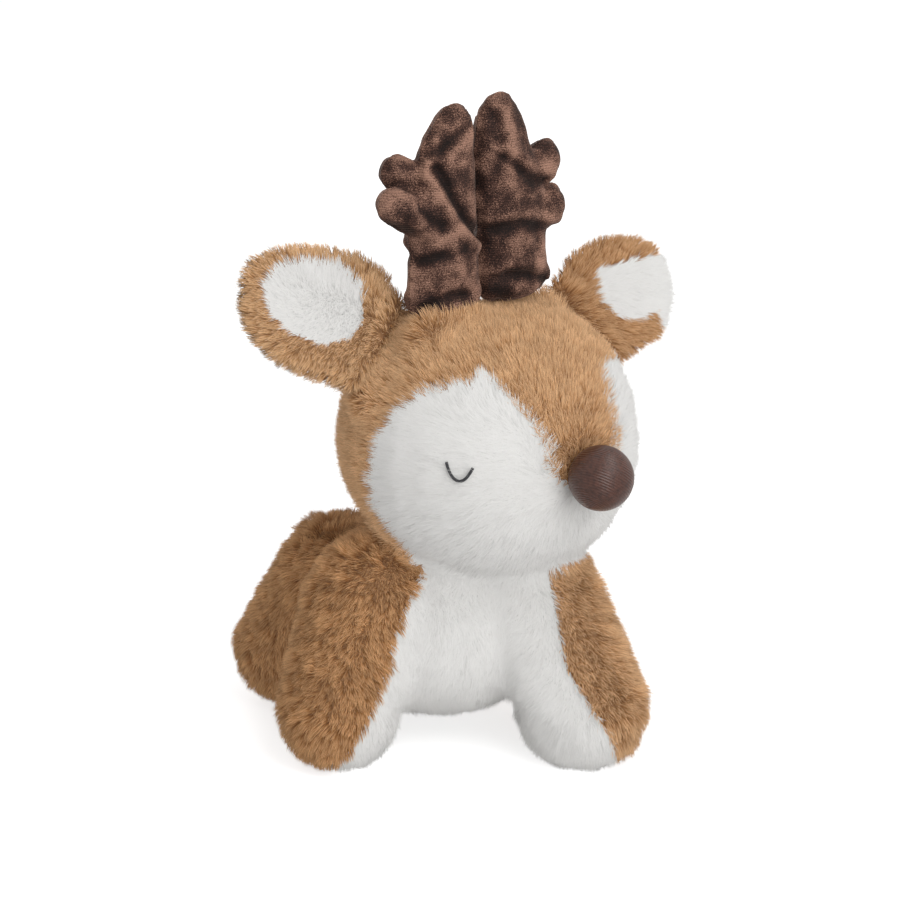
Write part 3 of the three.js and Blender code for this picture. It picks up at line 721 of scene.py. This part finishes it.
# The legs and back have a shorter pile in closer curls, in a darker copy of the tan that is painted shade
CURLY = {
    "length": 5.8 * MM, "first_angle": 14, "last_angle": 50,
    "ruffle": 0.85, "ruffle_size": 4 * MM, "gather": 0.32, "tan_material": tan_shaded_pile,
}
CHEEKS = {"length": 6.8 * MM, "ruffle": 0.34, "gather": 0.12}


def deer_kind(node):
    own = {"trim": trimmed, "flatten": flattened}
    if node in ("body_cover", "front_leg_right", "hind_leg_right", "hind_leg_left"):
        own.update(CURLY)
    if node.startswith("cheek"):
        own.update(CHEEKS)
    return own


# Rows of beads that lift the fur: round the antlers, in the head's frame, on the haunches and at the ears
CROWN_MOUND = 9.5 * MM
CROWN_ROWS = np.array([
    [(-3, -2, 42), (-31, -2, 42)],
    [(-10, -4, 46), (-30, -4, 47)],
    [(4, -2, 40), (30, -2, 34)],
]) * MM
HAUNCH_MOUND = 10 * MM
HAUNCH_ROWS = np.array([
    [(-50, 18, 69), (-50, 42, 69)],
    [(21, 18, 69), (21, 42, 69)],
]) * MM
EAR_MOUND = 8 * MM
EAR_MOUND_INWARD = 10  # millimetres from the seam, like the next
EAR_MOUND_HALF_LENGTH = 19


def seam_rises():
    rises = [bead_row(head_place(start), head_place(end), CROWN_MOUND) for start, end in CROWN_ROWS]
    rises += [bead_row(start, end, HAUNCH_MOUND) for start, end in HAUNCH_ROWS]
    for hand in ("right", "left"):
        seam = joints[f"ear_{hand}_seam"]
        place, along = np.array(seam["pos_m"]), unit(np.array(seam["axis"]))
        inward = unit(head_middle - place)
        middle = place + unit(inward - along * (inward @ along)) * EAR_MOUND_INWARD * MM
        half = along * EAR_MOUND_HALF_LENGTH * MM
        rises.append(bead_row(middle - half, middle + half, EAR_MOUND))
    return rises


FILLINGS = {"head_cover": ["head_filling"], "body_cover": ["body_filling", "pellet_bag"]}
dress(
    DEER, "deer", voxel=1.8 * MM, inset=4.4 * MM, guides=deer_guide, kinds=deer_kind, seed=11,
    inside=FILLINGS, rises=seam_rises(), relabel=seam_labels,
)


# Ears and tail lie from their seam to their tip

def seam_frame(name, piece):
    """A seam's place, its outward direction, its other direction across the piece, and the seam's own."""
    place = np.array(joints[name]["pos_m"])
    along = unit(np.array(joints[name]["axis"]))
    points = mesh_arrays(nodes[piece].data)[0]
    out = points.mean(0) - place
    out = unit(out - along * (out @ along))
    return place, out, np.cross(along, out), along


EAR_MIDDLE = 34  # millimetres from the seam
EAR_OUT_SHARE = 0.8
EAR_SPREAD_SHARE = 0.5
EAR_SINK = np.array([0, 0, -0.3])


def ear_guide(hand):
    place, out = seam_frame(f"ear_{hand}_seam", f"ear_{hand}")[:2]
    middle = place + out * EAR_MIDDLE * MM

    def guide(places):
        spread = unit(places - middle)
        return out * EAR_OUT_SHARE + spread * EAR_SPREAD_SHARE + EAR_SINK

    return guide


# The right ear swells at its root's upper side, and the left ear is a little shorter
EAR_SWELL = 4.5 * MM
EAR_SWELL_START = 9 * MM
EAR_SWELL_PLACE = 16 * MM
EAR_SWELL_REACH = 18 * MM
EAR_SHRINK_SHARE = 0.11
EAR_SHRINK_REACH = 40 * MM


def ear_shape(hand):
    place, out, _, along = seam_frame(f"ear_{hand}_seam", f"ear_{hand}")

    def shape(points):
        u, v = (points - place) @ out, (points - place) @ along
        if hand == "right":
            swell = np.exp(-(((u - EAR_SWELL_PLACE) / EAR_SWELL_REACH) ** 2))
            swell *= np.clip((v - EAR_SWELL_START) / EAR_SWELL_START, 0, 1)
            return points + along * (EAR_SWELL * swell)[:, None]
        shrink = EAR_SHRINK_SHARE * np.clip(u / EAR_SHRINK_REACH, 0, 1)
        return points - out * (u * shrink)[:, None] - along * (v * shrink)[:, None]

    return shape


# The left ear's lining runs out to its lower rim, and ends below its upper one
CREST_SLOPE_SHARE = 0.5
CREST_HEIGHT = 9 * MM
RIM_WAY_SHARES = np.array([0.64, -0.77])  # along the ear and along its seam
RIM_HALF_ANGLE = math.radians(44)
RIM_BACK = 2 * MM
EAR_COVER = 0  # the order of an ear's two panels
EAR_LINING = 1


def left_rim(centres, label):
    place, out, across, along = seam_frame("ear_left_seam", "ear_left")
    middle = mesh_arrays(nodes["ear_lining_left"].data)[0].mean(0)
    spread = np.stack([(centres - middle) @ out, (centres - middle) @ along], axis=1)
    in_window = unit(spread) @ unit(RIM_WAY_SHARES) > math.cos(RIM_HALF_ANGLE)
    in_front = (centres - place) @ across < RIM_BACK
    in_crest = spread[:, 1] + CREST_SLOPE_SHARE * spread[:, 0] > CREST_HEIGHT
    return np.where(in_crest, EAR_COVER, np.where(in_window & in_front, EAR_LINING, label))


EAR_KIND = {"length": 5.6 * MM, "first_angle": 24, "last_angle": 60}
# The right ear's tan is painted lighter and the left ear's darker: painted light and painted shade on the
# same fur
for hand, material, seed, relabel in (
    ("right", tan_lit_pile, 400, None),
    ("left", tan_far_shaded_pile, 460, left_rim),
):
    way = ear_guide(hand)
    dress(
        [f"ear_{hand}", f"ear_lining_{hand}"], f"{hand}_ear", voxel=1.3 * MM, inset=2.2 * MM,
        guides=lambda node: way, kinds=lambda node: {**EAR_KIND, "tan_material": material},
        seed=seed, shape=ear_shape(hand), relabel=relabel,
    )

dress(
    ["tail"], "tail", voxel=1.3 * MM, inset=3 * MM,
    guides=lambda node: down_body, kinds=lambda node: {"length": 7 * MM}, seed=700,
)


# Antlers: two panels of crushed velvet, stuffed, with a seam round the outline

VELVET_STOPS = [(0.15, (0.009, 0.004, 0.003)), (0.5, (0.072, 0.032, 0.023)), (0.88, (0.40, 0.22, 0.155))]
NOISE_MIDDLE = 0.5
PATCH_TONE_SHARE = 0.75
FINE_TONE_SHARE = 1.7
RIB_TONE_SHARE = 0.6
FINE_HEIGHT_SHARE = 0.6
RIB_HEIGHT_SHARE = 0.35


def velvet_material():
    made = Nodes("velvet")
    place = made.place()
    # The level read here is painted shade in the folds' valleys and painted highlight on their ridges, plus
    # random crushed patches
    level = made.add("ShaderNodeAttribute", [("attribute_name", "nap_and_fold_shade")]).outputs["Fac"]
    patches = made.noise(scale=150, distortion=0.2, vector=place)
    fine = made.noise(scale=2600, vector=place)
    for factor, share in ((patches, PATCH_TONE_SHARE), (fine, FINE_TONE_SHARE)):
        swing = made.math("MULTIPLY", made.math("SUBTRACT", factor, NOISE_MIDDLE), share)
        level = made.math("ADD", level, swing)
    colour = made.ramp(level, VELVET_STOPS)
    bands = [("bands_direction", "Z")]
    wave = made.add("ShaderNodeTexWave", bands, Vector=place, Scale=340.0, Distortion=1.6, Detail=2.0)
    rib = made.ramp(wave.outputs["Fac"], [(0.0, (0.55, 0.55, 0.55)), (1.0, (1.1, 1.1, 1.1))])
    colour = made.mix(RIB_TONE_SHARE, colour, rib, "MULTIPLY")
    set_shader(made, Base_Color=colour, Roughness=0.75, Specular_IOR_Level=0.2)
    set_shader(made, Sheen_Weight=0.3, Sheen_Roughness=0.3, Sheen_Tint=(0.8, 0.55, 0.45, 1))
    fine_height = made.math("MULTIPLY", fine, FINE_HEIGHT_SHARE)
    rib_height = made.math("MULTIPLY", wave.outputs["Fac"], RIB_HEIGHT_SHARE)
    made.bump(made.math("ADD", fine_height, rib_height), strength=0.6, distance=0.5 * MM)
    return made.material


velvet = velvet_material()

# Folds on an antler's face: valleys through shares of its width and height, each with a depth share
FOLD_SHARES = {
    "right": [
        ([(0.66, 0.70), (0.53, 0.56), (0.40, 0.45), (0.25, 0.37), (0.07, 0.30)], 1.0),
        ([(0.58, 0.79), (0.44, 0.84), (0.26, 0.87)], 0.6),
        ([(0.95, 0.52), (0.82, 0.46), (0.66, 0.40)], 0.6),
        ([(1.0, 0.21), (0.8, 0.24), (0.58, 0.24)], 0.5),
        ([(0.9, -0.02), (0.6, 0.03), (0.3, 0.0)], 0.6),
    ],
    "left": [
        ([(0.30, 0.68), (0.57, 0.57), (0.90, 0.50)], 0.9),
        ([(0.22, 0.90), (0.24, 0.78), (0.20, 0.64)], 0.5),
        ([(0.04, 0.31), (0.43, 0.33), (0.98, 0.24)], 0.7),
        ([(0.25, 0.06), (0.5, 0.04), (0.85, -0.02)], 0.7),
    ],
}
ANTLER_WIDTH = 33 * MM
ANTLER_HEIGHT = 71 * MM
FOLD_DEPTH = 2.4 * MM
FOLD_REACH = 2.0 * MM
RIDGE_PLACE = 1.9  # in reaches of a fold, like the next
RIDGE_REACH = 1.2
RIDGE_SHARE = 0.55


# How far a fold lowers each place; a lower ridge swells up on the side below it
def fold_lift(out, up, shares):
    lift = np.zeros(len(out))
    for places, depth_share in shares:
        ends = np.array(places) * (ANTLER_WIDTH, ANTLER_HEIGHT)
        spots = np.stack([out, up], axis=1)
        best = np.full(len(out), np.inf)
        signed = np.zeros(len(out))
        for first, second in zip(ends[:-1], ends[1:]):
            way = second - first
            share = np.clip(((spots - first) @ way) / (way @ way), 0, 1)
            gap = spots - (first + share[:, None] * way)
            distance = np.linalg.norm(gap, axis=1)
            side = np.sign(way[0] * gap[:, 1] - way[1] * gap[:, 0])
            near = distance < best
            best[near] = distance[near]
            signed[near] = (distance * side)[near]
        valley = np.exp(-((best / FOLD_REACH) ** 2))
        ridge = np.exp(-(((signed - RIDGE_PLACE * FOLD_REACH) / (RIDGE_REACH * FOLD_REACH)) ** 2))
        lift += depth_share * FOLD_DEPTH * (RIDGE_SHARE * ridge - valley)
    return lift


VELVET_VOXEL = 0.8 * MM
BROAD_SIZE = 11 * MM
FINE_SIZE = 4.5 * MM
FACING_GAIN = 1.6
SEAM_WIDTH = 0.13  # how far a face turns from the outline's seam, like the next
PUCKER_WIDTH = 0.5
BROAD_LIFT = 0.7 * MM
SEAM_LIFT = 0.55 * MM
PUCKER_DEPTH = 0.3 * MM
FINE_LIFT = 0.35  # in millimetres, like the next
PUCKER_FINE_LIFT = 0.5
FOLD_SHADE_SHARE = 0.24
NAP_BROAD_SHARE = 0.4
NAP_FINE_SHARE = 0.24
NAP_ENDS = (0.1, 0.9)


def noise_levels(points, size, shift):
    return np.array([noise.noise(Vector(point) / size + Vector(shift)) for point in points])


def antler(hand, seed, level):
    name = f"antler_{hand}"
    points, triangles, _ = joined([name])
    points, triangles = remeshed(points, triangles, VELVET_VOXEL)
    points = smoothed(points, triangles, rounds=5)
    normals = vertex_normals(points, triangles)
    place = np.array(joints[f"{name}_seam"]["pos_m"])
    outward = head_turn @ np.array([-1 if hand == "right" else 1, 0, 0])
    out, up = (points - place) @ outward, (points - place) @ head_turn @ np.array([0, 0, 1])
    facing = normals @ (head_turn @ np.array([0, -1, 0]))
    broad = noise_levels(points, BROAD_SIZE, (seed, 0, 0))
    fine = noise_levels(points, FINE_SIZE, (0, seed, 0))
    other = FOLD_SHARES["left" if hand == "right" else "right"]
    folds = np.clip(facing * FACING_GAIN, 0, 1) * fold_lift(out, up, FOLD_SHARES[hand])
    folds += np.clip(-facing * FACING_GAIN, 0, 1) * fold_lift(out, up, other)
    seam = np.exp(-((facing / SEAM_WIDTH) ** 2))
    pucker = np.exp(-((facing / PUCKER_WIDTH) ** 2)) * (1 - seam)
    lift = folds + BROAD_LIFT * broad + (FINE_LIFT + PUCKER_FINE_LIFT * pucker) * MM * fine
    lift = lift + SEAM_LIFT * seam - PUCKER_DEPTH * pucker
    points = points + normals * lift[:, None]
    points = smoothed(points, triangles, rounds=1)
    made = mesh_object(name + "_velvet", points, triangles)
    # Darker in the folds' valleys and lighter on their ridges: painted shade and painted highlight; the
    # broad and fine noise are random crushed patches
    nap_and_fold_shade = level + FOLD_SHADE_SHARE * folds / MM + NAP_BROAD_SHARE * broad + NAP_FINE_SHARE * fine
    stored = made.data.attributes.new("nap_and_fold_shade", "FLOAT", "POINT")
    stored.data.foreach_set("value", np.clip(nap_and_fold_shade, *NAP_ENDS).astype(np.float32))
    made.data.materials.append(velvet)
    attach(made, f"{hand}_antler")
    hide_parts(name)


# The left antler's velvet is set darker than the right's: painted shade on the same velvet
antler("right", seed=3, level=0.52)
antler("left", seed=8, level=0.46)


# Nose: a ball wound with satin thread

WINDING_AXIS = (0.5, 0.35, 0.8)
WINDING_TURNS = 38
NOSE_BANDS = 400
NOSE_SIDES = 96
FURROW_SHARE = 0.988  # of the nose's radius, like the next
THREAD_SHARE = 0.012


def nose():
    middle = head_place(NOSE_IN_HEAD)
    axis = Vector(WINDING_AXIS).normalized().to_track_quat("Z", "Y").to_matrix()
    points, faces = [], []
    for band in range(NOSE_BANDS + 1):
        angle = math.pi * band / NOSE_BANDS
        for side in range(NOSE_SIDES):
            round_angle = 2 * math.pi * side / NOSE_SIDES
            ridge = (1 + math.cos(2 * (WINDING_TURNS * angle + round_angle))) / 2
            radius = NOSE_RADIUS * (FURROW_SHARE + THREAD_SHARE * ridge)
            spot = Vector((math.sin(angle) * math.cos(round_angle), math.sin(angle) * math.sin(round_angle),
                           math.cos(angle)))
            points.append(np.array(axis @ spot) * radius + middle)
    for band in range(NOSE_BANDS):
        first, second = band * NOSE_SIDES, (band + 1) * NOSE_SIDES
        for side in range(NOSE_SIDES):
            following = (side + 1) % NOSE_SIDES
            faces.append((first + side, second + side, second + following, first + following))
    made = mesh_object("nose_thread", np.array(points), faces)
    surface = Nodes("satin")
    grain = surface.noise(scale=700, detail=3)
    colour = surface.ramp(grain, [(0.3, (0.045, 0.016, 0.010)), (0.7, (0.095, 0.034, 0.021))])
    set_shader(surface, Base_Color=colour, Roughness=0.3, Specular_IOR_Level=0.45)
    set_shader(surface, Sheen_Weight=0.12, Sheen_Roughness=0.4, Sheen_Tint=(0.8, 0.5, 0.4, 1))
    surface.bump(grain, strength=0.15, distance=0.2 * MM)
    made.data.materials.append(surface.material)
    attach(made, "deer")
    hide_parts("nose")


nose()


# Eyes: one arc of twisted thread each

THREAD_RADIUS = 0.56 * MM


def eye(side, hand, material):
    points = eye_arc(side)
    curve = bpy.data.curves.new("eye_path", "CURVE")
    curve.dimensions = "3D"
    spline = curve.splines.new("NURBS")
    spline.points.add(len(points) - 1)
    for slot, point in zip(spline.points, points):
        slot.co = (*point, 1)
    spline.use_endpoint_u = True
    spline.order_u = 4
    spline.resolution_u = 12
    curve.bevel_depth = THREAD_RADIUS
    curve.bevel_resolution = 3
    curve.use_fill_caps = True
    source = bpy.data.objects.new("eye_path", curve)
    bpy.context.scene.collection.objects.link(source)
    evaluated = source.evaluated_get(bpy.context.evaluated_depsgraph_get())
    mesh = bpy.data.meshes.new_from_object(evaluated)
    bpy.data.objects.remove(source)
    made = bpy.data.objects.new(f"eye_stitch_{hand}_thread", mesh)
    mesh.name = made.name
    bpy.context.scene.collection.objects.link(made)
    mesh.materials.clear()
    mesh.materials.append(material)
    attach(made, "deer")
    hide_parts(f"eye_stitch_{hand}")


def thread_material():
    made = Nodes("thread")
    bands = [("bands_direction", "DIAGONAL")]
    wave = made.add("ShaderNodeTexWave", bands, Vector=made.place(), Scale=900.0)
    colour = made.ramp(wave.outputs["Fac"], [(0.0, (0.012, 0.012, 0.014)), (1.0, (0.05, 0.05, 0.056))])
    set_shader(made, Base_Color=colour, Roughness=0.6)
    made.bump(wave.outputs["Fac"], strength=0.5, distance=0.15 * MM)
    return made.material


thread = thread_material()
eye(-1, "right", thread)
eye(1, "left", thread)

# Floor, world, lamps and camera

FLOOR_HALF = 6  # metres
FLOOR_SIGNS = ((-1, -1), (1, -1), (1, 1), (-1, 1))
FLOOR_GLOW = 0.58
WORLD_LIGHT = 0.44
WORLD_SEEN = 1.0

floor = mesh_object("floor", [(FLOOR_HALF * x, FLOOR_HALF * y, 0) for x, y in FLOOR_SIGNS], [(0, 1, 2, 3)])
floor_nodes = Nodes("floor")
set_shader(floor_nodes, Base_Color=(0.93, 0.93, 0.93, 1), Roughness=0.9, Specular_IOR_Level=0.0)
floor_seen = floor_nodes.add("ShaderNodeLightPath").outputs["Is Camera Ray"]
floor_glow = floor_nodes.math("MULTIPLY", floor_seen, FLOOR_GLOW)
set_shader(floor_nodes, Emission_Color=(1, 1, 1, 1), Emission_Strength=floor_glow)
floor.data.materials.append(floor_nodes.material)

world = bpy.data.worlds.new("world")
world.use_nodes = True
bpy.context.scene.world = world
tree = world.node_tree
background = tree.nodes["Background"]
path = tree.nodes.new("ShaderNodeLightPath")


def greater(first, second):
    node = tree.nodes.new("ShaderNodeMath")
    node.operation = "MAXIMUM"
    tree.links.new(first, node.inputs[0])
    tree.links.new(second, node.inputs[1])
    return node.outputs[0]


shiny = greater(path.outputs["Is Glossy Ray"], path.outputs["Is Transmission Ray"])
strength = tree.nodes.new("ShaderNodeMapRange")
tree.links.new(greater(path.outputs["Is Camera Ray"], shiny), strength.inputs["Value"])
strength.inputs["To Min"].default_value = WORLD_LIGHT
strength.inputs["To Max"].default_value = WORLD_SEEN
tree.links.new(strength.outputs["Result"], background.inputs["Strength"])
background.inputs["Color"].default_value = (1, 1, 1, 1)

AIM = Vector((-21.38, -35.93, 122)) * MM
SENSOR_WIDTH = 36  # millimetres, as Blender counts it
FOCAL_PIXELS = 3561.6
IMAGE_PIXELS = 900


# Links a lamp or camera that looks at the aim from a bearing and height in degrees
def aimed(name, data, azimuth, elevation, distance):
    made = bpy.data.objects.new(name, data)
    bpy.context.scene.collection.objects.link(made)
    a, e = math.radians(azimuth), math.radians(elevation)
    back = Vector((math.sin(a) * math.cos(e), -math.cos(a) * math.cos(e), math.sin(e)))
    made.location = AIM + back * distance
    made.rotation_mode = "QUATERNION"
    made.rotation_quaternion = back.to_track_quat("Z", "Y")
    return made


def lamp(name, size, power, **view):
    data = bpy.data.lights.new(name, "AREA")
    data.shape = "DISK"
    data.size = size
    data.energy = power
    aimed(name, data, **view)


lamp("key", size=1.0, power=7.4, azimuth=20, elevation=48, distance=1.3)
lamp("fill", size=1.2, power=6.4, azimuth=16, elevation=10, distance=1.6)
lamp("back", size=1.2, power=5.6, azimuth=190, elevation=20, distance=1.6)

camera_data = bpy.data.cameras.new("camera")
camera_data.sensor_width = SENSOR_WIDTH
camera_data.lens = SENSOR_WIDTH * FOCAL_PIXELS / IMAGE_PIXELS
camera = aimed("camera", camera_data, azimuth=-17, elevation=16, distance=1.3)
camera_data.clip_start = 0.05
camera_data.clip_end = 50
bpy.context.scene.camera = camera
bpy.context.scene.view_settings.view_transform = "Standard"
